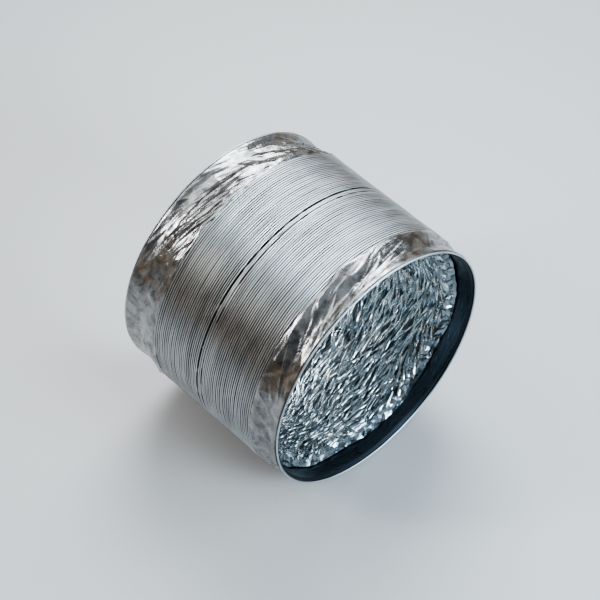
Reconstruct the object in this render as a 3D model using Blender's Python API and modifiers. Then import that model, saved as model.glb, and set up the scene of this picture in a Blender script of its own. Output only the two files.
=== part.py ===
"""Wire-reinforced aluminium foil duct, 150 mm nominal, fully compressed between two sheet-metal collars.

The duct lies on its side with its axis along Y. The front mouth faces -Y, +Z is up and the floor is z = 0.
Stations along the duct are measured from the front rim plane towards the rear.
"""

import math

import bpy

MM = 0.001

# Driving dimensions, in millimetres
RIM_RADIUS = 76.0
LENGTH = 122.0
BAND_RADIUS = 77.5
BAND_START = 18.6
BAND_END = 96.0
GROUPS = 14
TURNS_PER_GROUP = 4
GAP = 0.3

WIRE_DIAMETER = 0.9
WIRE_CENTRE_RADIUS = 75.9
OUTER_PLY_THICKNESS = 0.4
INNER_PLY_OUTSIDE = 74.1
INNER_PLY_INSIDE = 66.0
PLEAT_MOUTH = 1.2

COLLAR_RADIUS = 73.9
COLLAR_DEPTH = 17.0
SHEET = 0.5
RIM_FACE = 1.0
RIM_DEPTH = 1.0
FLARE_DEPTH = 2.4

CUFF_START = 3.0
CUFF_THICKNESS = 0.9
CUFF_SHOULDER = 3.0
HEM_START = 9.5
HEM_INSIDE = 66.5
HEM_EDGE = 69.6

# Facets per turn. With 30 a facet lies flat on the floor and a corner points along +X
RING_STEPS = 30
WIRE_STEPS = 18

AXIS_HEIGHT = BAND_RADIUS * math.cos(math.pi / RING_STEPS)
FRONT_Y = -LENGTH / 2
GROUP_PITCH = (BAND_END - BAND_START) / GROUPS
GROUP_WIDTH = GROUP_PITCH - GAP
# The duct bends towards -X, about the edge of the band there
BEND_PIVOT_X = -BAND_RADIUS


def clear_scene():
    for old in list(bpy.data.objects):
        bpy.data.objects.remove(old, do_unlink=True)


def make_collection(name):
    collection = bpy.data.collections.new(name)
    bpy.context.scene.collection.children.link(collection)
    return collection


def make_material(name, colour, roughness, metallic):
    material = bpy.data.materials.new(name)
    material.use_nodes = True
    shader = material.node_tree.nodes["Principled BSDF"]
    shader.inputs["Base Color"].default_value = (*colour, 1.0)
    shader.inputs["Roughness"].default_value = roughness
    shader.inputs["Metallic"].default_value = metallic
    material.diffuse_color = (*colour, 1.0)
    return material


def collar_material():
    return make_material("collar_sheet", (0.30, 0.35, 0.40), 0.25, 1.0)


def foil_material():
    return make_material("foil_ply", (0.78, 0.79, 0.80), 0.22, 1.0)


def liner_material():
    return make_material("foil_liner", (0.66, 0.72, 0.76), 0.30, 1.0)


def wire_material():
    return make_material("spring_wire", (0.45, 0.44, 0.42), 0.35, 1.0)


def station(distance, x=0.0):
    """The world point on the duct's axis, or beside it, at a distance behind the front rim plane."""
    return (x * MM, (FRONT_Y + distance) * MM, AXIS_HEIGHT * MM)


def make_empty(name, location, parent):
    """A joint's frame. Its location is a world point."""
    empty = bpy.data.objects.new(name, None)
    empty.empty_display_size = 0.02
    part.objects.link(empty)
    attach(empty, parent, location)
    return empty


def attach(piece, parent, location):
    """Places a piece at a world point under a parent, none of which is turned."""
    piece.location = location
    if parent is not None:
        bpy.context.view_layer.update()
        piece.parent = parent
        piece.matrix_parent_inverse = parent.matrix_world.inverted()


def turned(name, profile, origin, parent, material):
    """A ring turned about the duct's axis.

    The profile is a closed outline of (radius, station) points that runs forwards on its outer side.
    """
    mesh = bpy.data.meshes.new(name)
    points = [(radius * MM, 0.0, (place - origin) * MM) for radius, place in profile]
    edges = [(i, (i + 1) % len(points)) for i in range(len(points))]
    mesh.from_pydata(points, edges, [])
    mesh.materials.append(material)
    ring = bpy.data.objects.new(name, mesh)
    part.objects.link(ring)
    screw = ring.modifiers.new("Turn", "SCREW")
    screw.axis = "Z"
    screw.angle = 2 * math.pi
    screw.steps = RING_STEPS
    screw.render_steps = RING_STEPS
    screw.use_merge_vertices = True
    screw.merge_threshold = 0.00001
    screw.use_smooth_shade = False
    # The outline's local Z becomes the duct's axis, which is world Y
    ring.rotation_euler = (-math.pi / 2, 0.0, 0.0)
    attach(ring, parent, station(origin))
    return ring


def mirrored(profile, at_rear):
    """The same outline for the rear end, where stations count forwards from the rear rim plane."""
    if not at_rear:
        return profile
    return [(radius, LENGTH - place) for radius, place in reversed(profile)]


def make_collar(end, at_rear, parent, material):
    """A short sheet-metal tube with a flared and hemmed edge that ends in a flat rim."""
    bore = COLLAR_RADIUS - SHEET
    profile = [
        (COLLAR_RADIUS, COLLAR_DEPTH),
        (COLLAR_RADIUS, FLARE_DEPTH),
        (COLLAR_RADIUS + 0.7, FLARE_DEPTH - 0.8),
        (RIM_RADIUS, RIM_DEPTH),
        (RIM_RADIUS, 0.0),
        (RIM_RADIUS - RIM_FACE, 0.0),
        (RIM_RADIUS - RIM_FACE, RIM_DEPTH / 2),
        (bore + 0.6, FLARE_DEPTH - 1.2),
        (bore, FLARE_DEPTH),
        (bore, COLLAR_DEPTH),
    ]
    origin = LENGTH if at_rear else 0.0
    return turned(f"{end}_collar", mirrored(profile, at_rear), origin, parent, material)


def make_cuff(end, at_rear, band_edge, parent, material):
    """The outer ply's end, drawn down over the collar between its rim and the packed turns."""
    inside = COLLAR_RADIUS + GAP
    outside = inside + CUFF_THICKNESS
    stop = band_edge - GAP
    profile = [
        (BAND_RADIUS - 1.5, stop),
        (outside, stop - CUFF_SHOULDER),
        (outside, CUFF_START),
        (inside, CUFF_START),
        (inside, stop - CUFF_SHOULDER),
        (inside, stop),
    ]
    origin = LENGTH if at_rear else 0.0
    return turned(f"{end}_cuff", mirrored(profile, at_rear), origin, parent, material)


def make_hem(end, at_rear, band_edge, parent, material):
    """The inner ply's end, crumpled back inside the collar."""
    outside = COLLAR_RADIUS - SHEET - 2 * GAP
    stop = band_edge - GAP
    profile = [
        (outside, stop),
        (outside, HEM_START),
        (HEM_EDGE, HEM_START),
        (HEM_INSIDE, HEM_START + 5.0),
        (HEM_INSIDE, stop),
    ]
    origin = LENGTH if at_rear else 0.0
    return turned(f"{end}_hem", mirrored(profile, at_rear), origin, parent, material)


def make_outer_ply(label, start, parent, material):
    """The outer foil over one group of turns."""
    inside = BAND_RADIUS - OUTER_PLY_THICKNESS
    stop = start + GROUP_WIDTH
    profile = [(BAND_RADIUS, stop), (BAND_RADIUS, start), (inside, start), (inside, stop)]
    return turned(f"outer_ply_{label}", profile, start, parent, material)


def make_inner_ply(label, start, parent, material):
    """The inner foil of one group of turns, folded inwards. Its inner face opens in a shallow V."""
    stop = start + GROUP_WIDTH
    profile = [
        (INNER_PLY_OUTSIDE, stop),
        (INNER_PLY_OUTSIDE, start),
        (INNER_PLY_INSIDE, start),
        (INNER_PLY_INSIDE + PLEAT_MOUTH, (start + stop) / 2),
        (INNER_PLY_INSIDE, stop),
    ]
    return turned(f"inner_ply_{label}", profile, start, parent, material)


def make_wire(label, start, parent, material):
    """One group's length of the reinforcing helix."""
    radius = WIRE_DIAMETER / 2
    first = start + radius
    advance = (GROUP_WIDTH - WIRE_DIAMETER) / (TURNS_PER_GROUP * WIRE_STEPS)
    curve = bpy.data.curves.new(f"wire_{label}", "CURVE")
    curve.dimensions = "3D"
    curve.bevel_depth = radius * MM
    curve.bevel_resolution = 0
    curve.use_fill_caps = True
    spline = curve.splines.new("POLY")
    count = TURNS_PER_GROUP * WIRE_STEPS + 1
    spline.points.add(count - 1)
    for i in range(count):
        angle = 2 * math.pi * i / WIRE_STEPS
        spline.points[i].co = (
            WIRE_CENTRE_RADIUS * math.cos(angle) * MM,
            (first - start + i * advance) * MM,
            WIRE_CENTRE_RADIUS * math.sin(angle) * MM,
            1.0,
        )
    curve.materials.append(material)
    wire = bpy.data.objects.new(f"wire_{label}", curve)
    part.objects.link(wire)
    attach(wire, parent, station(start))
    return wire


clear_scene()
part = make_collection("foil_duct")
sheet = collar_material()
foil = foil_material()
liner = liner_material()
steel = wire_material()

rear = make_empty("rear_end", station(LENGTH), None)
make_collar("rear", True, rear, sheet)
make_cuff("rear", True, LENGTH - BAND_END, rear, foil)
make_hem("rear", True, LENGTH - BAND_END, rear, liner)

# Group 01 is the one next to the rear collar. Odd groups slide out from what is behind them, and even
# groups hinge on the odd group behind them
parent = rear
for number in range(1, GROUPS + 1):
    label = f"{number:02d}"
    group_end = BAND_END - (number - 1) * GROUP_PITCH - GAP / 2
    group_start = group_end - GROUP_WIDTH
    joint_gap = group_end + GAP / 2
    if number % 2:
        pivot = station(joint_gap)
    else:
        pivot = station(joint_gap, BEND_PIVOT_X)
    parent = make_empty(f"turns_{label}", pivot, parent)
    make_outer_ply(label, group_start, parent, foil)
    make_inner_ply(label, group_start, parent, liner)
    make_wire(label, group_start, parent, steel)

front = make_empty("front_end", station(0.0), parent)
make_collar("front", False, front, sheet)
make_cuff("front", False, BAND_START, front, foil)
make_hem("front", False, BAND_START, front, liner)
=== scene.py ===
"""Looks of the collapsed foil duct: packed windings, crumpled foil ends and lining, and sheet-metal collars.

The duct's axis runs along Y at the height AXIS_Z, and the front mouth faces -Y. Angles round it start at +X
and run upwards. Lengths are in metres, or in millimetres where a comment says so.
"""

import math

import bpy
import numpy as np
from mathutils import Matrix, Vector


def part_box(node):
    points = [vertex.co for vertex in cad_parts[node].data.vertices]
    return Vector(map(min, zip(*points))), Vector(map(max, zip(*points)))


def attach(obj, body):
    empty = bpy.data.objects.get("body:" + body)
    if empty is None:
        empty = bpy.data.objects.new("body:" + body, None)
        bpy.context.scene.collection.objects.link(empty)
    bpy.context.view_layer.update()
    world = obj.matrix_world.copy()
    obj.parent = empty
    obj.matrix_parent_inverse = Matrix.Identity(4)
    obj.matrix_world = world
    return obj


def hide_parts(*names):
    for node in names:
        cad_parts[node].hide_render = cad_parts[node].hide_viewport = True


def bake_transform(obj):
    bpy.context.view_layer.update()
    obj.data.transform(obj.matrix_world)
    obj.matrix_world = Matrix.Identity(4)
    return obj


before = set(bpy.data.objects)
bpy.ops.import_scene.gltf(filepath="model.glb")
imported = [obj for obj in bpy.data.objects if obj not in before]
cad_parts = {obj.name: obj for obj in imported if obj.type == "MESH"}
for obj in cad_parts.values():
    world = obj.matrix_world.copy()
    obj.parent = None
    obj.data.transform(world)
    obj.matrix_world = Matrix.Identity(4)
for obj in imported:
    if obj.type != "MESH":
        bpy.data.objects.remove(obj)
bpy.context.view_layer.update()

MM = 0.001
TWO_PI = 2 * math.pi

# The duct's measures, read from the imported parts
GROUPS = 14
TURNS_PER_GROUP = 4
TURNS = GROUPS * TURNS_PER_GROUP
front_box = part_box("front_collar")
rear_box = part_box("rear_collar")
band_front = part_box("outer_ply_14")[0]
band_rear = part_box("outer_ply_01")[1]
AXIS_Z = (front_box[0].z + front_box[1].z) / 2
RIM_RADIUS = (front_box[1].x - front_box[0].x) / 2
BAND_RADIUS = band_rear.x
FRONT_Y = front_box[0].y
REAR_Y = rear_box[1].y
GROUP_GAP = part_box("outer_ply_01")[0].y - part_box("outer_ply_02")[1].y
BAND_FRONT = band_front.y - GROUP_GAP / 2
BAND_REAR = band_rear.y + GROUP_GAP / 2
PITCH = (BAND_REAR - BAND_FRONT) / TURNS
COLLAR_DEPTH = front_box[1].y - front_box[0].y

# In millimetres: the collar's radius and sheet, and the radius where the feet of the inner foil's folds are
COLLAR_OUTSIDE = 73.9
COLLAR_SHEET = 0.5
FOLD_FOOT = 69.0


# ---------------------------------------------------------------- noise that closes round the duct

# The first argument of each noise is its seed, and each use has its own

NOISE_ROWS = 64
# How far the facets' lattice is warped, in its own cells
WARP = 0.6


def smooth(t):
    return t * t * (3 - 2 * t)


def step_up(x, low, high):
    """A smooth step from 0 at low to 1 at high."""
    return smooth(np.clip((x - low) / (high - low), 0, 1))


def hump(x, middle, width):
    """A smooth hump, 1 high."""
    return np.exp(-(((x - middle) / width) ** 2))


def ring_noise(seed, theta, count):
    """Smooth noise from -1 to 1 along theta, with count bumps round the duct."""
    values = np.random.RandomState(seed).uniform(-1, 1, count)
    x = (theta / TWO_PI * count) % count
    i = np.floor(x).astype(int)
    t = smooth(x - i)
    return values[i % count] * (1 - t) + values[(i + 1) % count] * t


def lattice(seed, x, y, count):
    """How far x and y lie into their cell, and the random values at its four corners.

    x closes after count cells.
    """
    values = np.random.RandomState(seed).uniform(-1, 1, (NOISE_ROWS, count))
    i, j = np.floor(x).astype(int), np.floor(y).astype(int)
    left, right = i % count, (i + 1) % count
    low, high = j % NOISE_ROWS, (j + 1) % NOISE_ROWS
    return x - i, y - j, values[low, left], values[low, right], values[high, left], values[high, right]


def sheet_noise(seed, theta, along, count, cell):
    """Smooth noise from -1 to 1 over theta and a distance along the duct, in cells of the given length."""
    theta, along = np.broadcast_arrays(theta, along)
    x = (theta / TWO_PI * count) % count
    y = along / cell + NOISE_ROWS / 2
    s, t, low_left, low_right, high_left, high_right = lattice(seed, x, y, count)
    s, t = smooth(s), smooth(t)
    low = low_left * (1 - s) + low_right * s
    high = high_left * (1 - s) + high_right * s
    return low * (1 - t) + high * t


def facets(seed, theta, along, count, cell, lean):
    """Flat triangles from -1 to 1 that meet in sharp edges, as in crumpled foil.

    Their lattice has count cells round the duct and cells of a length along it. It leans by a slope, and is
    warped.
    """
    coarse, wide = max(3, count // 3), 2 * cell
    x = ((theta + lean * along / RIM_RADIUS) / TWO_PI * count) % count
    x = x + WARP * sheet_noise(seed + 500, theta, along, coarse, wide)
    y = along / cell + NOISE_ROWS / 2 + WARP * sheet_noise(seed + 600, theta, along, coarse, wide)
    s, t, low_left, low_right, high_left, high_right = lattice(seed, x, y, count)
    lower = low_left * (1 - s - t) + low_right * s + high_left * t
    upper = high_right * (s + t - 1) + high_left * (1 - s) + low_right * (1 - t)
    return np.where(s + t < 1, lower, upper)


def creases(seed, theta, along, count, cell, lean):
    """Thin straight ridges, from 0 between them to 1 on their crests."""
    return (1 - np.abs(facets(seed, theta, along, count, cell, lean))) ** 8


# ---------------------------------------------------------------- meshes wound round the duct's axis


def ring_points(theta, radius, y):
    """World points of one row, from angles, radii and places along the duct."""
    theta, radius, y = np.broadcast_arrays(theta, radius, y)
    return np.stack([radius * np.cos(theta), y, AXIS_Z + radius * np.sin(theta)], -1)


def mesh_from_rows(name, rows, weave, outwards, flat=False, first=0):
    """A tube of foil through rows of points, each row closing round the duct.

    weave "quads" joins equal rows, and "staggered" joins rows of which the odd ones are half a step round.
    first is the number of the first row.
    """
    rows = np.asarray(rows)
    count, steps = rows.shape[:2]
    faces = []
    for j in range(count - 1):
        for i in range(steps):
            k = (i + 1) % steps
            a, b = j * steps + i, j * steps + k
            c, d = (j + 1) * steps + i, (j + 1) * steps + k
            if weave == "quads":
                faces.append((a, b, d, c))
            elif (first + j) % 2 == 0:
                faces.append((a, b, c))
                faces.append((b, d, c))
            else:
                faces.append((a, b, d))
                faces.append((a, d, c))
    if not outwards:
        faces = [face[::-1] for face in faces]
    mesh = bpy.data.meshes.new(name)
    mesh.from_pydata([tuple(p) for p in rows.reshape(-1, 3)], [], faces)
    if not flat:
        mesh.shade_smooth()
    piece = bpy.data.objects.new(name, mesh)
    bpy.context.scene.collection.objects.link(piece)
    return piece


def thicken(piece, thickness):
    """Gives the foil its thickness, behind the side that its faces show."""
    solid = piece.modifiers.new("Foil", "SOLIDIFY")
    solid.thickness = thickness
    solid.offset = -1
    solid.use_even_offset = False


def blend_rows(piece):
    """Bakes a piece's placing into its mesh.
    """
    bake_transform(piece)


# ---------------------------------------------------------------- materials


def new_material(name, metallic=0.0):
    """A new material, its node tree and its shader."""
    material = bpy.data.materials.new(name)
    material.use_nodes = True
    shader = material.node_tree.nodes["Principled BSDF"]
    shader.inputs["Metallic"].default_value = metallic
    return material, material.node_tree, shader


def noise_value(tree, size, detail, along=1.0, distortion=0.0):
    """Noise over the object's own coordinates, squeezed along the duct by a factor."""
    source = tree.nodes.new("ShaderNodeTexCoord")
    mapping = tree.nodes.new("ShaderNodeMapping")
    mapping.inputs["Scale"].default_value = (1, along, 1)
    tree.links.new(source.outputs["Object"], mapping.inputs["Vector"])
    node = tree.nodes.new("ShaderNodeTexNoise")
    node.inputs["Scale"].default_value = size
    node.inputs["Detail"].default_value = detail
    node.inputs["Distortion"].default_value = distortion
    tree.links.new(mapping.outputs["Vector"], node.inputs["Vector"])
    return node.outputs["Fac"]


def ramp(tree, value, low, high, low_at=0.3, high_at=0.7):
    """Maps a noise value to a range of colours."""
    node = tree.nodes.new("ShaderNodeValToRGB")
    first, last = node.color_ramp.elements
    first.position, last.position = low_at, high_at
    first.color, last.color = (*low, 1.0), (*high, 1.0)
    tree.links.new(value, node.inputs["Fac"])
    return node.outputs["Color"]


def add_colour(tree, shader, value, low, high, low_at=0.3, high_at=0.7):
    tree.links.new(ramp(tree, value, low, high, low_at, high_at), shader.inputs["Base Color"])


def add_roughness(tree, shader, value, low, high):
    tree.links.new(ramp(tree, value, (low,) * 3, (high,) * 3), shader.inputs["Roughness"])


def add_bump(tree, shader, value, strength, distance):
    bump = tree.nodes.new("ShaderNodeBump")
    bump.inputs["Strength"].default_value = strength
    bump.inputs["Distance"].default_value = distance
    tree.links.new(value, bump.inputs["Height"])
    tree.links.new(bump.outputs["Normal"], shader.inputs["Normal"])


def winding_material():
    """Foil drawn tight over the wire, with shallow dents drawn out round the duct."""
    material, tree, shader = new_material("foil_windings", 1.0)
    cloud = noise_value(tree, size=70.0, detail=3.0, along=2.5)
    add_colour(tree, shader, cloud, (0.38, 0.38, 0.38), (0.52, 0.525, 0.53))
    add_roughness(tree, shader, cloud, 0.33, 0.4)
    dents = noise_value(tree, size=110.0, detail=2.0, along=1.5)
    add_bump(tree, shader, dents, strength=0.08, distance=0.0004)
    return material


def groove_shade_material():
    """Painted shade: the foil between two turns, coloured near black because little light comes out again."""
    material, tree, shader = new_material("foil_groove_painted_shade")
    shader.inputs["Specular IOR Level"].default_value = 0.15
    cloud = noise_value(tree, size=110.0, detail=3.0)
    add_colour(tree, shader, cloud, (0.01, 0.01, 0.01), (0.04, 0.04, 0.043))
    add_roughness(tree, shader, cloud, 0.5, 0.7)
    return material


def membrane_material():
    """The foil folded in between two turns, which shows when the duct is drawn out."""
    material, tree, shader = new_material("foil_membrane", 1.0)
    cloud = noise_value(tree, size=60.0, detail=3.0)
    add_colour(tree, shader, cloud, (0.42, 0.42, 0.42), (0.62, 0.625, 0.63))
    wrinkles = noise_value(tree, size=260.0, detail=3.0, along=0.4, distortion=0.6)
    add_roughness(tree, shader, wrinkles, 0.2, 0.3)
    add_bump(tree, shader, wrinkles, strength=0.35, distance=0.0008)
    return material


def cuff_crease_shade_material():
    """Loose foil, finely wrinkled, with painted crease shade: its colour is patched darker and lighter by a
    noise.
    """
    material, tree, shader = new_material("foil_cuff_crease_shade", 0.9)
    cloud = noise_value(tree, size=120.0, detail=4.0, distortion=1.2)
    # The dark and light patches of colour are painted crease shade
    add_colour(tree, shader, cloud, (0.13, 0.13, 0.129), (0.37, 0.372, 0.374), 0.34, 0.66)
    wrinkles = noise_value(tree, size=200.0, detail=3.0, along=1.5, distortion=0.5)
    add_roughness(tree, shader, wrinkles, 0.21, 0.29)
    add_bump(tree, shader, wrinkles, strength=0.25, distance=0.0004)
    return material


def liner_material(name, low, high):
    """The inner foil's folds, in one of two shades: their lit foil, or a darker copy that is painted shade.
    """
    material, tree, shader = new_material(name, 1.0)
    cloud = noise_value(tree, size=120.0, detail=3.0)
    add_colour(tree, shader, cloud, low, high)
    wrinkles = noise_value(tree, size=150.0, detail=3.0, distortion=0.4)
    add_roughness(tree, shader, wrinkles, 0.16, 0.3)
    add_bump(tree, shader, wrinkles, strength=0.04, distance=0.0004)
    return material


def deep_liner_shade_material():
    """Painted shade: the sheet behind the inner folds, coloured near black because little light reaches it.
    """
    material, tree, shader = new_material("foil_liner_deep_painted_shade", 1.0)
    cloud = noise_value(tree, size=200.0, detail=3.0)
    add_colour(tree, shader, cloud, (0.03, 0.035, 0.04), (0.16, 0.18, 0.2))
    add_roughness(tree, shader, cloud, 0.3, 0.5)
    return material


def hem_shade_material():
    """The ragged end of the inner foil, finely crinkled, and coloured far darker than the folds' lit foil as
    painted shade inside the collar.
    """
    material, tree, shader = new_material("foil_hem_painted_shade", 1.0)
    cloud = noise_value(tree, size=160.0, detail=3.0)
    add_colour(tree, shader, cloud, (0.12, 0.15, 0.17), (0.3, 0.355, 0.395))
    wrinkles = noise_value(tree, size=300.0, detail=3.0, along=1.5, distortion=0.8)
    add_roughness(tree, shader, wrinkles, 0.16, 0.28)
    add_bump(tree, shader, wrinkles, strength=0.4, distance=0.0006)
    return material


def wire_material():
    """Drawn spring steel with fine marks along the wire."""
    material, tree, shader = new_material("spring_wire", 1.0)
    marks = noise_value(tree, size=240.0, detail=3.0, along=9)
    add_colour(tree, shader, marks, (0.34, 0.33, 0.31), (0.5, 0.49, 0.47))
    add_roughness(tree, shader, marks, 0.26, 0.4)
    add_bump(tree, shader, marks, strength=0.15, distance=0.0001)
    return material


def collar_material():
    """Dark zinc-plated sheet with faint rolling marks round the ring."""
    material, tree, shader = new_material("collar_sheet", 1.0)
    cloud = noise_value(tree, size=45.0, detail=4.0)
    add_colour(tree, shader, cloud, (0.05, 0.066, 0.082), (0.08, 0.10, 0.125))
    streaks = noise_value(tree, size=90.0, detail=3.0, along=14)
    add_roughness(tree, shader, streaks, 0.24, 0.36)
    add_bump(tree, shader, streaks, strength=0.08, distance=0.0001)
    return material


def flare_shade_material():
    """The inside of the collar's flare, rougher than its wall and coloured near black as painted shade."""
    material, tree, shader = new_material("collar_flare_painted_shade", 1.0)
    cloud = noise_value(tree, size=45.0, detail=4.0)
    add_colour(tree, shader, cloud, (0.012, 0.016, 0.02), (0.022, 0.029, 0.036))
    add_roughness(tree, shader, cloud, 0.4, 0.5)
    return material


def rim_highlight_material():
    """The collar's folded edge, coloured far lighter than its sheet as a painted highlight."""
    material, tree, shader = new_material("collar_rim_painted_highlight", 1.0)
    cloud = noise_value(tree, size=40.0, detail=3.0)
    add_colour(tree, shader, cloud, (0.42, 0.47, 0.52), (0.54, 0.59, 0.64))
    add_roughness(tree, shader, cloud, 0.34, 0.42)
    return material


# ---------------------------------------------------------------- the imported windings

WINDING_STEPS = 400
WINDING_ANGLES = np.arange(WINDING_STEPS) / WINDING_STEPS * TWO_PI

# A bead's section: how far each row lies from its middle, as a share of its reach, and below its crest
BEAD_PLACES = (-1.0, -0.62, 0.0, 0.62, 1.0)
BEAD_DROPS = (0.30 * MM, 0.10 * MM, 0.0, 0.10 * MM, 0.30 * MM)
BEAD_CREST = BAND_RADIUS - 0.25 * MM
# The foil folded in between two turns: how wide its mouth is, and how far it goes below the lips
PLEAT_MOUTH = 0.1 * MM
PLEAT_DEPTH = 0.3 * MM
WINDING_THICKNESS = 0.12 * MM

# How far the beads stray along the duct and outwards, each on its own and together with its neighbours
OWN_STRAY = 0.05 * MM
SHARED_STRAY = 0.22 * MM
OWN_SWELL = 0.05 * MM
SHARED_SWELL = 0.27 * MM

# The two lines between turns that stand open, counted in turns from the front. Each has how far it opens,
# and a bias that makes it open over more of the way round
OPEN_LINES = {29: (0.4 * MM, 0.0), 31: (0.55 * MM, 2.2)}
OPEN_MIDDLE = 30
# Over how many turns an open line's push fades, and how sharply its dashes begin and end
PUSH_FADE = 2.5
DASH_SHARPNESS = 4

# How far the beads reach towards a groove, in pitches: in the mean, its waves and ripples, and how much less
# where the turns stand apart
REACH, REACH_WAVE, REACH_RIPPLE = 0.228, 0.075, 0.035
APART_CUT = 0.07
# The same beside an open line, where it is closed, and how much less where it stands open
OPEN_REACH, OPEN_CUT = 0.45, 0.24
# The angles from which the turns beside the open lines begin to stand apart, and stand apart wholly, and over
# how many turns they do
APART_FROM, APART_WHOLE, APART_TURNS = 2.0, 2.4, 4
# A groove's depth in millimetres: in the mean, its waves, how much less where it is closed, and how much
# more where a line stands open
GROOVE_DEPTH, GROOVE_WAVE, CLOSED_RISE, OPEN_DROP = 0.52, 0.1, 0.16, 0.5
# How sharply a groove closes, and a bias that leaves most of it open
CLOSED_SHARPNESS, CLOSED_BIAS = 1.6, 0.5


def turn_middle(turn):
    """The place along the duct of a turn's middle, before it strays."""
    return BAND_FRONT + (turn + 0.5) * PITCH


def turn_places(turn):
    """The places along the duct of one turn's bead, round the duct."""
    pushed = 0.0
    for line, (opening, _) in OPEN_LINES.items():
        distance = turn + 0.5 - line
        pushed += math.copysign(opening, distance) * math.exp(-abs(distance) / PUSH_FADE)
    own = ring_noise(100 + turn, WINDING_ANGLES, count=17) * OWN_STRAY
    shared = sheet_noise(7, WINDING_ANGLES, turn_middle(turn), count=9, cell=0.012) * SHARED_STRAY
    return turn_middle(turn) + pushed + own + shared


def turn_radii(turn):
    """The crest's radii of one turn's bead, round the duct."""
    own = ring_noise(300 + turn, WINDING_ANGLES, count=27) * OWN_SWELL
    shared = sheet_noise(9, WINDING_ANGLES, turn_middle(turn), count=13, cell=0.013) * SHARED_SWELL
    return BEAD_CREST + own + shared


def dashes(line):
    """Where an open line stands open, from 0 to 1 round the duct."""
    bias = OPEN_LINES[line][1]
    return np.clip(ring_noise(900 + line, WINDING_ANGLES, count=92) * DASH_SHARPNESS + bias, 0, 1)


def bead_reach(line):
    """How far the beads beside a groove reach towards it. Where they meet, the dark line fades."""
    if line in OPEN_LINES:
        return (OPEN_REACH - OPEN_CUT * dashes(line)) * PITCH
    wave = REACH_WAVE * ring_noise(1100 + line, WINDING_ANGLES, count=14)
    ripple = REACH_RIPPLE * ring_noise(1300 + line, WINDING_ANGLES, count=41)
    # The turns beside the open lines also stand apart on the duct's -X side
    apart = step_up(WINDING_ANGLES, APART_FROM, APART_WHOLE) * hump(line, OPEN_MIDDLE, APART_TURNS)
    return (REACH + wave + ripple - APART_CUT * apart) * PITCH


def line_depth(line):
    """How deep the groove in front of a turn is, round the duct."""
    wave = GROOVE_WAVE * ring_noise(500 + line, WINDING_ANGLES, count=31)
    closed = ring_noise(700 + line, WINDING_ANGLES, count=11) * CLOSED_SHARPNESS - CLOSED_BIAS
    depth = GROOVE_DEPTH + wave - CLOSED_RISE * np.clip(closed, 0, 1)
    if line in OPEN_LINES:
        depth = depth + OPEN_DROP * dashes(line)
    return depth * MM


def winding_rows():
    """All rows of the windings from front to rear, and for each row its turn, or None in a fold.

    The foil between two turns is folded in between two lips, so that it can be drawn out.
    """
    rows, owners = [], []
    places = [turn_places(turn) for turn in range(TURNS)]
    radii = [turn_radii(turn) for turn in range(TURNS)]
    for turn in range(TURNS + 1):
        if turn == 0:
            y, r = places[0] - PITCH / 2, radii[0]
        elif turn == TURNS:
            y, r = places[-1] + PITCH / 2, radii[-1]
        else:
            y, r = (places[turn - 1] + places[turn]) / 2, (radii[turn - 1] + radii[turn]) / 2
        lip = r - line_depth(turn)
        if turn > 0:
            rows.append(ring_points(WINDING_ANGLES, lip, y - PLEAT_MOUTH / 2))
            owners.append(turn - 1)
        rows.append(ring_points(WINDING_ANGLES, lip - PLEAT_DEPTH, y))
        owners.append(None)
        if turn == TURNS:
            break
        rows.append(ring_points(WINDING_ANGLES, lip, y + PLEAT_MOUTH / 2))
        owners.append(turn)
        for place, drop in zip(BEAD_PLACES, BEAD_DROPS):
            reach = bead_reach(turn if place < 0 else turn + 1)
            rows.append(ring_points(WINDING_ANGLES, radii[turn] - drop, places[turn] + place * reach))
            owners.append(turn)
    return rows, owners


# ---------------------------------------------------------------- how the turns are shared out to the joints


def body_name(group):
    """The body of a group of turns, where 0 is the rear end and GROUPS + 1 the front end."""
    if group <= 0:
        return "rear"
    if group > GROUPS:
        return "front"
    return f"turns_{group:02d}"


def section_plan():
    """The duct from front to rear, cut into sections of (first line, last line, body behind, body ahead).

    A line is the groove in front of the turn of the same number. Slides take the sections between the
    hinges, and each hinge takes the two turns beside it.
    """
    plan = []
    first = 0
    ahead = GROUPS + 1
    for group in range(GROUPS, 0, -2):
        hinge_line = (GROUPS - group + 1) * TURNS_PER_GROUP
        plan.append((first, hinge_line - 1, body_name(ahead - 1), body_name(ahead)))
        plan.append((hinge_line - 1, hinge_line + 1, body_name(group - 1), body_name(group)))
        first = hinge_line + 1
        ahead = group - 1
    plan.append((first, TURNS, body_name(0), body_name(1)))
    return plan


def replace_groups(stem, first, last):
    """Hides the plies of the groups whose middle line falls in a section."""
    for group in range(1, GROUPS + 1):
        middle = (GROUPS - group + 0.5) * TURNS_PER_GROUP
        if first <= middle <= last:
            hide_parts(f"{stem}_{group:02d}")


def make_windings(bead_material, shade_material, fold_material):
    """The outer foil of all turns.

    Each turn has a strip of faces from the fold to the lip, one from the lip to the bead, the bead's own
    strips, and then the same two down to the next fold.
    """
    rows, owners = winding_rows()
    lines = [i for i, owner in enumerate(owners) if owner is None]
    strips = len(BEAD_PLACES) + 3
    for number, (first, last, behind, ahead) in enumerate(section_plan(), 1):
        name = f"windings_{number:02d}"
        piece = mesh_from_rows(name, rows[lines[first] : lines[last] + 1], "quads", True)
        for material in (bead_material, shade_material, fold_material):
            piece.data.materials.append(material)
        for face in piece.data.polygons:
            strip = face.index // WINDING_STEPS % strips
            if strip in (0, strips - 1):
                face.material_index = 2
            # The strips from each lip to its bead take the groove's painted shade
            elif strip in (1, strips - 2):
                face.material_index = 1
        thicken(piece, WINDING_THICKNESS)
        blend_rows(piece)
        replace_groups("outer_ply", first, last)


# ---------------------------------------------------------------- the inner foil

LINER_STEPS = 72
LINER_THICKNESS = 0.1 * MM
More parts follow.
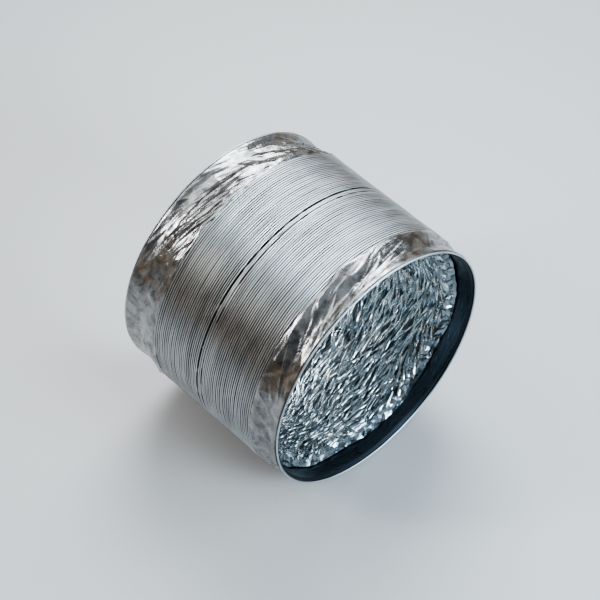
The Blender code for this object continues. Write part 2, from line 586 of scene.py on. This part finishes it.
# How far the sheet's points stray, in steps round the duct, and inwards and along the duct in millimetres
LINER_STRAY, LINER_SWELL, LINER_WANDER = 0.38, 0.6, 1.2
# How far the even and the odd rows stand in from the folds' feet, in millimetres
LINER_LIFTS = (0.1, 0.9)
# Over how many rows from either end the wander grows to its whole
LINER_STEADY = 3

FOLDS_PER_TURN = 50
# The share of the folds in the copy of their foil with painted shade
SHADED_SHARE = 0.24
# How far the folds stray from their lattice round the duct, in its own steps
LATTICE_STRAY = 0.32
# Ranges of a fold's measures, in millimetres, and of how far it leans, as a share of its width
FOLD_LENGTH = (11.0, 17.0)
FOLD_WIDTH = (1.25, 1.85)
FOLD_HEIGHT = (1.5, 2.8)
FOLD_BEND = (-0.5, 0.5)
FOLD_LEAN = (-0.4, 0.4)
# A fold's angle from the way round the duct, in degrees: the mean, how far it swirls, and how far it strays
FOLD_ANGLE, FOLD_SWIRL, FOLD_STRAY = 20, 30, 17

# A fold's corners, as shares of its length, width and height: the foot's two pointed ends and four side
# corners, and the two ends of the crest
FOLD_CORNERS = (
    (-0.5, 0.0, 0.0),
    (-0.27, -0.5, 0.0),
    (0.27, -0.5, 0.0),
    (0.5, 0.0, 0.0),
    (0.27, 0.5, 0.0),
    (-0.27, 0.5, 0.0),
    (-0.3, 0.0, 1.0),
    (0.3, 0.0, 1.0),
)
FOOT_CORNERS = 6
FOLD_FACES = ((0, 6, 1), (1, 6, 7, 2), (2, 7, 3), (0, 5, 6), (5, 4, 7, 6), (4, 3, 7), (0, 1, 2, 3, 4, 5))


def liner_row(line):
    """One row of the sheet that the folds stand on. Odd rows are half a step round."""
    generator = np.random.RandomState(2000 + line)
    odd = line % 2
    stray = generator.uniform(-LINER_STRAY, LINER_STRAY, LINER_STEPS)
    theta = TWO_PI / LINER_STEPS * (np.arange(LINER_STEPS) + 0.5 * odd + stray)
    swell = generator.uniform(-LINER_SWELL, LINER_SWELL, LINER_STEPS)
    radius = (FOLD_FOOT - LINER_LIFTS[odd] + swell) * MM
    # The first and last rows stay straight, where the ends' foil meets them
    freedom = min(1.0, min(line, TURNS - line) / LINER_STEADY)
    wander = generator.uniform(-LINER_WANDER, LINER_WANDER, LINER_STEPS) * MM * freedom
    return ring_points(theta, radius, BAND_FRONT + line * PITCH + wander)


def fold_points(generator, theta, y, foot):
    """The corners of folds at angles and places along the duct: small pointed ridges, bent and leaning."""
    count = len(theta)
    length = generator.uniform(*FOLD_LENGTH, count)
    width = generator.uniform(*FOLD_WIDTH, count)
    height = generator.uniform(*FOLD_HEIGHT, count)
    bend = generator.uniform(*FOLD_BEND, count)
    lean = generator.uniform(*FOLD_LEAN, count) * width
    swirl = FOLD_ANGLE + FOLD_SWIRL * sheet_noise(31, theta, y, count=15, cell=0.015)
    angle = np.radians(swirl + generator.uniform(-FOLD_STRAY, FOLD_STRAY, count))
    corners = []
    for along, side, rise in FOLD_CORNERS:
        a = along * length
        bowed = bend * (1 - (2 * along) ** 2)
        b = side * width + bowed + rise * lean
        around = theta + (a * np.cos(angle) - b * np.sin(angle)) / foot
        place = y + (a * np.sin(angle) + b * np.cos(angle)) * MM
        corners.append(ring_points(around, (foot - rise * height) * MM, place))
    return np.stack(corners, 1)


def folds_piece(name, points, materials, generator):
    """One mesh of all folds with the given corners, each in one of two materials: the lit foil, or its copy
    with painted shade.
    """
    corners = len(FOLD_CORNERS)
    faces = [tuple(corners * k + i for i in face) for k in range(len(points)) for face in FOLD_FACES]
    mesh = bpy.data.meshes.new(name)
    mesh.from_pydata(points.reshape(-1, 3).tolist(), [], faces)
    for material in materials:
        mesh.materials.append(material)
    # At random, a share of the folds take the copy with painted shade
    shaded = generator.uniform(0, 1, len(points)) < SHADED_SHARE
    mesh.polygons.foreach_set("material_index", np.repeat(shaded, len(FOLD_FACES)).astype(np.int32))
    # The crests are shaded round, and the edges of the feet sharp
    mesh.shade_smooth()
    for edge in mesh.edges:
        edge.use_edge_sharp = all(vertex % corners < FOOT_CORNERS for vertex in edge.vertices)
    piece = bpy.data.objects.new(name, mesh)
    bpy.context.scene.collection.objects.link(piece)
    return piece


def make_liner(fold_materials, deep_shade_material):
    """The inner foil of all turns: a sheet, and the folds that stand inwards from it."""
    rows = [liner_row(line) for line in range(TURNS + 1)]
    for number, (first, last, behind, ahead) in enumerate(section_plan(), 1):
        part = rows[first : last + 1]
        piece = mesh_from_rows(f"liner_{number:02d}", part, "staggered", False, flat=True, first=first)
        # The sheet is coloured as painted shade
        piece.data.materials.append(deep_shade_material)
        thicken(piece, LINER_THICKNESS)
        blend_rows(piece)
        replace_groups("inner_ply", first, last)

        # The folds stand near the points of a lattice, so that they cover the sheet evenly
        generator = np.random.RandomState(3000 + number)
        count = FOLDS_PER_TURN * (last - first)
        turn, place = np.divmod(np.arange(count), FOLDS_PER_TURN)
        place = place + 0.5 * (turn % 2) + generator.uniform(-LATTICE_STRAY, LATTICE_STRAY, count)
        theta = place / FOLDS_PER_TURN * TWO_PI
        line = first + turn + generator.uniform(0.1, 0.9, count)
        points = fold_points(generator, theta, BAND_FRONT + line * PITCH, FOLD_FOOT)
        folds = folds_piece(f"folds_{number:02d}", points, fold_materials, generator)
        blend_rows(folds)


# ---------------------------------------------------------------- the ends


def end_place(at_rear, distance):
    """The place along the duct at a distance in from an end's rim plane."""
    return REAR_Y - distance if at_rear else FRONT_Y + distance


COLLAR_STEPS = 192
# In millimetres: where the flare starts and ends behind the rim plane, how far it ends inside the middle of
# the folded edge, that edge's own radius, and how far the sheet's inner side lies behind its outer side
FLARE_FOOT = 2.4
FLARE_TOP = 1.0
FLARE_INSET = 0.1
EDGE_RADIUS = 0.55
INSIDE_SHIFT = 0.1
FLARE_ROWS = 5
EDGE_ROWS = 12
# A collar's wall has a row of its own at this share of its depth
WALL_ROW = 0.6
WELD_DISTANCE = 0.00001


def collar_profile():
    """The outline of a collar in three runs: its outer side, round its folded edge, and its inner side.

    Each point is a radius and a distance in from the rim plane, in millimetres.
    """
    edge = RIM_RADIUS / MM - EDGE_RADIUS
    depth = COLLAR_DEPTH / MM
    outside = [(COLLAR_OUTSIDE, place) for place in (depth, depth * WALL_ROW, FLARE_FOOT)]
    for i in range(1, FLARE_ROWS + 1):
        t = i / FLARE_ROWS
        reach = (edge - COLLAR_OUTSIDE - FLARE_INSET) * smooth(t)
        outside.append((COLLAR_OUTSIDE + reach, FLARE_FOOT + (FLARE_TOP - FLARE_FOOT) * t))
    around = [
        (edge + EDGE_RADIUS * math.cos(angle), EDGE_RADIUS - EDGE_RADIUS * math.sin(angle))
        for angle in np.linspace(-1.7, 3.2, EDGE_ROWS)
    ]
    inside = [(radius - COLLAR_SHEET, place + INSIDE_SHIFT) for radius, place in reversed(outside[2:])]
    inside += [(COLLAR_OUTSIDE - COLLAR_SHEET, place) for place in (depth * WALL_ROW, depth)]
    return outside, around, inside


def make_collar(end, at_rear, sheet_material, highlight_material, shade_material):
    """A turned sheet-metal tube with a narrow flare and a rounded, folded edge. It is dark inside; its outer
    side and folded edge have a painted highlight, and the inside of its flare painted shade.
    """
    theta = np.arange(COLLAR_STEPS) / COLLAR_STEPS * TWO_PI
    outside, around, inside = collar_profile()
    profile = outside + around + inside
    edge_stop = len(outside) + len(around) - 1
    flare_stop = len(profile) - 3
    rows = [
        ring_points(theta, radius * MM, end_place(at_rear, place * MM))
        for radius, place in [*profile, profile[0]]
    ]
    piece = mesh_from_rows(f"{end}_collar_shell", rows, "quads", not at_rear)
    weld = piece.modifiers.new("Close", "WELD")
    weld.merge_threshold = WELD_DISTANCE
    for material in (sheet_material, highlight_material, shade_material):
        piece.data.materials.append(material)
    for face in piece.data.polygons:
        row = face.index // COLLAR_STEPS
        # The outer side and folded edge take the painted highlight, and the flare's inside the painted shade
        if row < edge_stop:
            face.material_index = 1
        elif row < flare_stop:
            face.material_index = 2
    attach(piece, end)
    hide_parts(f"{end}_collar")


CUFF_STEPS = 960
CUFF_THICKNESS = 0.08 * MM
CUFF_SEEDS = {"front": 80, "rear": 60}
# In millimetres: the spacing of a cuff's rows, and where it starts behind the rim plane
CUFF_ROW = 0.5
CUFF_START = 1.3
# A cuff's ragged edge, in millimetres: how far it reaches over the first turn, its waves and its ripples
CUFF_OVERLAP, CUFF_WAVE, CUFF_RIPPLE = 1.1, 0.8, 0.5
# How far a cuff stands off the collar, how much further over the collar's flare, and over what length, in
# millimetres
CUFF_STANDOFF, CUFF_FLARE, CUFF_FLARE_LENGTH = 1.15, 0.9, 6.0
# Where a cuff starts to rise to the windings, as a share of its length, and how far below the band's radius
# it ends, in millimetres
SHOULDER_START, SHOULDER_DROP = 0.35, 0.1
# Below 1, the rise is steeper at its start than at its end
SHOULDER_POWER = 0.8
# Where a cuff begins to be crumpled and where it is wholly so, as shares of its length, and where it begins
# to lie close on the first turn and wholly does, in millimetres past the windings' edge
LOOSE_FROM, LOOSE_WHOLE = 0.1, 0.52
CLOSE_FROM, CLOSE_WHOLE = -2.6, 0.4
# The share of the crumpling that is left at the rim, and on the first turn
RIM_SHARE, TURN_SHARE = 0.32, 0.1
# How far a cuff's edge is pressed down, over what length, and how far the foil stays from the collar, in
# millimetres
EDGE_DROP, EDGE_LENGTH, CUFF_CLEARANCE = 0.35, 0.8, 0.2
# The height of a cuff's facets in millimetres, and where round it they are higher: the angle, its spread and
# how many times that height is added
FACET_HEIGHT = 0.5
CRUMPLED = {"front": ((2.95, 0.5, 0.9),), "rear": ((2.95, 0.5, 0.9), (1.3, 0.3, 1.6))}
# The heights of a cuff's long and short creases in millimetres, and for each end their lattices and the
# height of the finest facets
LONG_HEIGHT, SHORT_HEIGHT = 0.44, 0.34
CREASES = {
    "front": (dict(count=26, cell=0.008), dict(count=50, cell=0.0055), 0.19),
    "rear": (dict(count=40, cell=0.0055), dict(count=70, cell=0.004), 0.27),
}


def cuff_folds(end, theta, place):
    """How far a cuff's crumpled foil stands out at one place along it, in millimetres."""
    seed = CUFF_SEEDS[end]
    crumpled = sum(times * hump(theta, middle, width) for middle, width, times in CRUMPLED[end])
    height = FACET_HEIGHT + FACET_HEIGHT * crumpled
    long_creases, short_creases, finest = CREASES[end]
    folds = height * facets(seed + 2, theta, place, count=48, cell=0.006, lean=0.6)
    folds += LONG_HEIGHT * creases(seed + 3, theta, place, **long_creases, lean=2.6)
    folds += SHORT_HEIGHT * creases(seed + 4, theta, place, **short_creases, lean=1.2)
    return folds + finest * facets(seed + 5, theta, place, count=130, cell=0.0024, lean=1.8)


def make_cuff(end, at_rear, band_edge, material):
    """The outer foil's end over the collar, from the rim's flare to a ragged edge on the first turns."""
    seed = CUFF_SEEDS[end]
    theta = np.arange(CUFF_STEPS) / CUFF_STEPS * TWO_PI
    # Distances in from the rim plane and radii, in millimetres
    stop = abs(band_edge - end_place(at_rear, 0.0)) / MM
    edge = stop + CUFF_OVERLAP + CUFF_WAVE * ring_noise(seed, theta, count=37)
    edge = edge + CUFF_RIPPLE * ring_noise(seed + 1, theta, count=101)
    waist = COLLAR_OUTSIDE + CUFF_STANDOFF
    shoulder = BAND_RADIUS / MM - SHOULDER_DROP
    rows = []
    count = int((stop - CUFF_START) / CUFF_ROW)
    for i in range(count + 1):
        t = i / count
        station = CUFF_START + (edge - CUFF_START) * t
        place = station * MM
        # The foil lies smooth at the rim, is crumpled towards the turns, and lies close on the first of them
        loose = step_up(station, CUFF_START + LOOSE_FROM * stop, CUFF_START + LOOSE_WHOLE * stop)
        free = 1 - step_up(station, stop + CLOSE_FROM, stop + CLOSE_WHOLE)
        radius = waist + (shoulder - waist) * step_up(t, SHOULDER_START, 1.0) ** SHOULDER_POWER
        radius = radius + CUFF_FLARE * (1 - step_up(station, CUFF_START, CUFF_START + CUFF_FLARE_LENGTH))
        share = (RIM_SHARE + (1 - RIM_SHARE) * loose) * (TURN_SHARE + (1 - TURN_SHARE) * free)
        radius = radius + cuff_folds(end, theta, place) * share
        radius = radius - EDGE_DROP * step_up(station, edge - EDGE_LENGTH, edge)
        radius = np.maximum(radius, COLLAR_OUTSIDE + CUFF_CLEARANCE)
        rows.append(ring_points(theta, radius * MM, end_place(at_rear, place)))
    piece = mesh_from_rows(f"{end}_cuff_foil", rows, "quads", not at_rear)
    piece.data.materials.append(material)
    thicken(piece, CUFF_THICKNESS)
    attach(piece, end)
    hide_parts(f"{end}_cuff")


HEM_STEPS = 190
HEM_THICKNESS = 0.1 * MM
HEM_SEEDS = {"front": 53, "rear": 51}
HEM_ROWS = {"front": 8, "rear": 11}
# How far in from the rim plane the hem's ragged edge lies, in millimetres. Each of its waves has a number of
# its own for its seed, a height and a count round the duct
HEM_EDGE = 10.6
HEM_WAVES = ((3, 0.8, 7), (1, 1.3, 21), (2, 0.5, 67))
# Where the front hem is torn further back: the angle, its spread and how far
HEM_TEAR = (0.6, 0.6, 3.6)
# In millimetres: how far the hem's edge lies inside the collar's wall, how far its other end stands in from
# the feet of the folds, and how near to the wall it may come
HEM_WALL_GAP, HEM_RISE, HEM_CLEARANCE = 0.7, 1.2, 0.25
# The hem reaches its inner radius over its whole length divided by this
HEM_STEEPNESS = 1.8
# How far the hem's points stray, in steps round the duct, and inwards and along the duct in millimetres, and
# the shares of the last two at its edge
HEM_STRAY, HEM_SWELL, HEM_WANDER = 0.3, 1.0, 0.5
EDGE_SWELL, EDGE_WANDER = 0.4, 0.3
# In millimetres: how far behind the hem's edge its folds start, from where behind the rim plane their number
# is worked out, and how much further in their feet are than those on the turns
HEM_FOLDS_START, HEM_FOLDS_FROM, HEM_FOLDS_RISE = 4.2, 12.0, 0.4
# How densely they stand, against the folds on the turns
HEM_DENSITY = 0.9


def hem_edge(end, theta):
    """How far in from the rim plane the inner foil's ragged edge lies, in millimetres."""
    edge = HEM_EDGE
    for own, height, count in HEM_WAVES:
        edge = edge + height * ring_noise(HEM_SEEDS[end] + own, theta, count)
    if end == "front":
        angle, spread, height = HEM_TEAR
        edge = edge + height * hump(np.mod(theta + math.pi, TWO_PI) - math.pi, angle, spread)
    return edge


def make_hem(end, at_rear, band_edge, material, fold_materials):
    """The inner foil's end, crumpled back inside the collar, with a ragged edge and its own folds."""
    stop = abs(band_edge - end_place(at_rear, 0.0)) / MM
    wall = COLLAR_OUTSIDE - COLLAR_SHEET
    outside, inside = wall - HEM_WALL_GAP, FOLD_FOOT - HEM_RISE
    count = HEM_ROWS[end]
    generator = np.random.RandomState(HEM_SEEDS[end])
    rows = []
    for line in range(count):
        t = line / (count - 1)
        swell, wander = (EDGE_SWELL, EDGE_WANDER) if line == 0 else (1.0, 1.0)
        stray = generator.uniform(-HEM_STRAY, HEM_STRAY, HEM_STEPS)
        theta = (np.arange(HEM_STEPS) + 0.5 * (line % 2) + stray) / HEM_STEPS * TWO_PI
        radius = outside - (outside - inside) * smooth(min(1.0, t * HEM_STEEPNESS))
        radius = radius + generator.uniform(-HEM_SWELL, HEM_SWELL, HEM_STEPS) * swell
        radius = np.minimum(radius, wall - HEM_CLEARANCE)
        station = hem_edge(end, theta) * (1 - t) + stop * t
        station = station + generator.uniform(-HEM_WANDER, HEM_WANDER, HEM_STEPS) * wander
        rows.append(ring_points(theta, radius * MM, end_place(at_rear, station * MM)))
    piece = mesh_from_rows(f"{end}_hem_foil", rows, "staggered", at_rear, flat=True)
    piece.data.materials.append(material)
    thicken(piece, HEM_THICKNESS)
    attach(piece, end)
    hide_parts(f"{end}_hem")

    fold_count = int(FOLDS_PER_TURN * (stop - HEM_FOLDS_FROM) * MM / PITCH * HEM_DENSITY)
    theta = generator.uniform(0, TWO_PI, fold_count)
    first = hem_edge(end, theta) + HEM_FOLDS_START
    places = end_place(at_rear, (first + (stop - first) * generator.uniform(0, 1, fold_count)) * MM)
    points = fold_points(generator, theta, places, FOLD_FOOT - HEM_FOLDS_RISE)
    folds = folds_piece(f"{end}_hem_folds", points, fold_materials, generator)
    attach(folds, end)


# ---------------------------------------------------------------- floor, light and camera

FLOOR_SIZE = 6.0
FLOOR_GAP = 0.5 * MM

# The world's colours by the height of the view, from level at 0 to straight up at 1
SKY = (
    (0.0, (0.42, 0.29, 0.16)),
    (0.12, (0.34, 0.23, 0.125)),
    (0.28, (0.03, 0.03, 0.032)),
    (0.6, (0.05, 0.055, 0.06)),
    (1.0, (0.32, 0.35, 0.38)),
)

CAMERA_AZIMUTH = math.radians(-43.69)
CAMERA_ELEVATION = math.radians(50.28)
CAMERA_LENS = 132.0
CAMERA_SENSOR = 36.0
# Where the front rim's centre lies from the camera, in rim radii: to the right, upwards and ahead
CAMERA_OFFSET = (0.563, -0.497, 15.613)


def make_floor():
    bpy.ops.mesh.primitive_plane_add(size=FLOOR_SIZE, location=(0, 0, -FLOOR_GAP))
    floor = bpy.context.object
    floor.name = "floor"
    material, _, shader = new_material("floor")
    shader.inputs["Base Color"].default_value = (0.45, 0.45, 0.45, 1.0)
    shader.inputs["Roughness"].default_value = 0.7
    floor.data.materials.append(material)


def area_light(name, place, size, energy, spread, colour=(1, 1, 1)):
    """A rectangular light that faces the middle of the duct."""
    data = bpy.data.lights.new(name, "AREA")
    data.shape = "RECTANGLE"
    data.size, data.size_y = size
    data.energy = energy
    data.color = colour
    data.spread = math.radians(spread)
    light = bpy.data.objects.new(name, data)
    light.location = place
    towards = Vector((0, 0, AXIS_Z)) - Vector(place)
    light.rotation_euler = towards.to_track_quat("-Z", "Y").to_euler()
    bpy.context.scene.collection.objects.link(light)


def make_world():
    """A dim studio: a warm glow low down all round, and a cool ceiling, blended by height."""
    world = bpy.data.worlds.new("studio")
    world.use_nodes = True
    tree = world.node_tree
    source = tree.nodes.new("ShaderNodeTexCoord")
    split = tree.nodes.new("ShaderNodeSeparateXYZ")
    bands = tree.nodes.new("ShaderNodeValToRGB")
    # The ramp has its first and last elements from the start
    elements = bands.color_ramp.elements
    for height, _ in SKY[1:-1]:
        elements.new(height)
    for element, (_, colour) in zip(elements, SKY):
        element.color = (*colour, 1)
    tree.links.new(source.outputs["Generated"], split.inputs["Vector"])
    tree.links.new(split.outputs["Z"], bands.inputs["Fac"])
    tree.links.new(bands.outputs["Color"], tree.nodes["Background"].inputs["Color"])
    tree.nodes["Background"].inputs["Strength"].default_value = 1.0
    bpy.context.scene.world = world
    bpy.context.scene.view_settings.view_transform = "AgX"
    bpy.context.scene.view_settings.look = "AgX - Medium High Contrast"


def make_light():
    """Three soft boxes for the windings' highlights, and two cool ones for the mouth."""
    area_light("key_box", (0.5, 0.45, 0.85), (0.7, 0.64), 5.0, 90, (0.92, 0.965, 1.0))
    area_light("bridge_box", (-0.25, 0.5, 0.95), (0.45, 0.6), 0.6, 90)
    area_light("second_box", (-0.68, 0.5, 0.7), (0.16, 0.45), 1.1, 80)
    area_light("front_box", (0.1, -0.95, 0.62), (0.45, 0.3), 4.0, 90, (0.72, 0.88, 1.0))
    area_light("front_fill", (0.85, -0.75, 0.6), (1.0, 0.8), 4.5, 100, (0.74, 0.89, 1.0))


def make_camera():
    """The camera looks down at the front mouth and the windings, from the duct's -X side."""
    level = math.cos(CAMERA_ELEVATION)
    right = Vector((math.cos(CAMERA_AZIMUTH), math.sin(CAMERA_AZIMUTH), 0))
    back = Vector(
        (math.sin(CAMERA_AZIMUTH) * level, -math.cos(CAMERA_AZIMUTH) * level, math.sin(CAMERA_ELEVATION))
    )
    up = back.cross(right)
    across, above, ahead = CAMERA_OFFSET
    front_centre = Vector((0, FRONT_Y, AXIS_Z))
    data = bpy.data.cameras.new("camera")
    data.lens = CAMERA_LENS
    data.sensor_width = CAMERA_SENSOR
    camera = bpy.data.objects.new("camera", data)
    camera.location = front_centre - RIM_RADIUS * (across * right + above * up - ahead * back)
    camera.rotation_mode = "QUATERNION"
    camera.rotation_quaternion = (-back).to_track_quat("-Z", "Y")
    bpy.context.scene.collection.objects.link(camera)
    bpy.context.scene.camera = camera


# ---------------------------------------------------------------- the whole object

# The folds' lit foil, and a darker copy of it that is painted shade
fold_shades = (
    liner_material("foil_liner", (0.76, 0.86, 0.91), (0.93, 0.99, 1.0)),
    liner_material("foil_liner_painted_shade", (0.3, 0.365, 0.4), (0.46, 0.545, 0.59)),
)
collar = (collar_material(), rim_highlight_material(), flare_shade_material())
cuff = cuff_crease_shade_material()
hem = hem_shade_material()
wire = wire_material()

make_windings(winding_material(), groove_shade_material(), membrane_material())
make_liner(fold_shades, deep_liner_shade_material())
for end, at_rear, band_edge in (("front", False, BAND_FRONT), ("rear", True, BAND_REAR)):
    make_collar(end, at_rear, *collar)
    make_cuff(end, at_rear, band_edge, cuff)
    make_hem(end, at_rear, band_edge, hem, fold_shades)
for name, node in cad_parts.items():
    if name.startswith("wire_"):
        node.data.materials.clear()
        node.data.materials.append(wire)

make_floor()
make_world()
make_light()
make_camera()
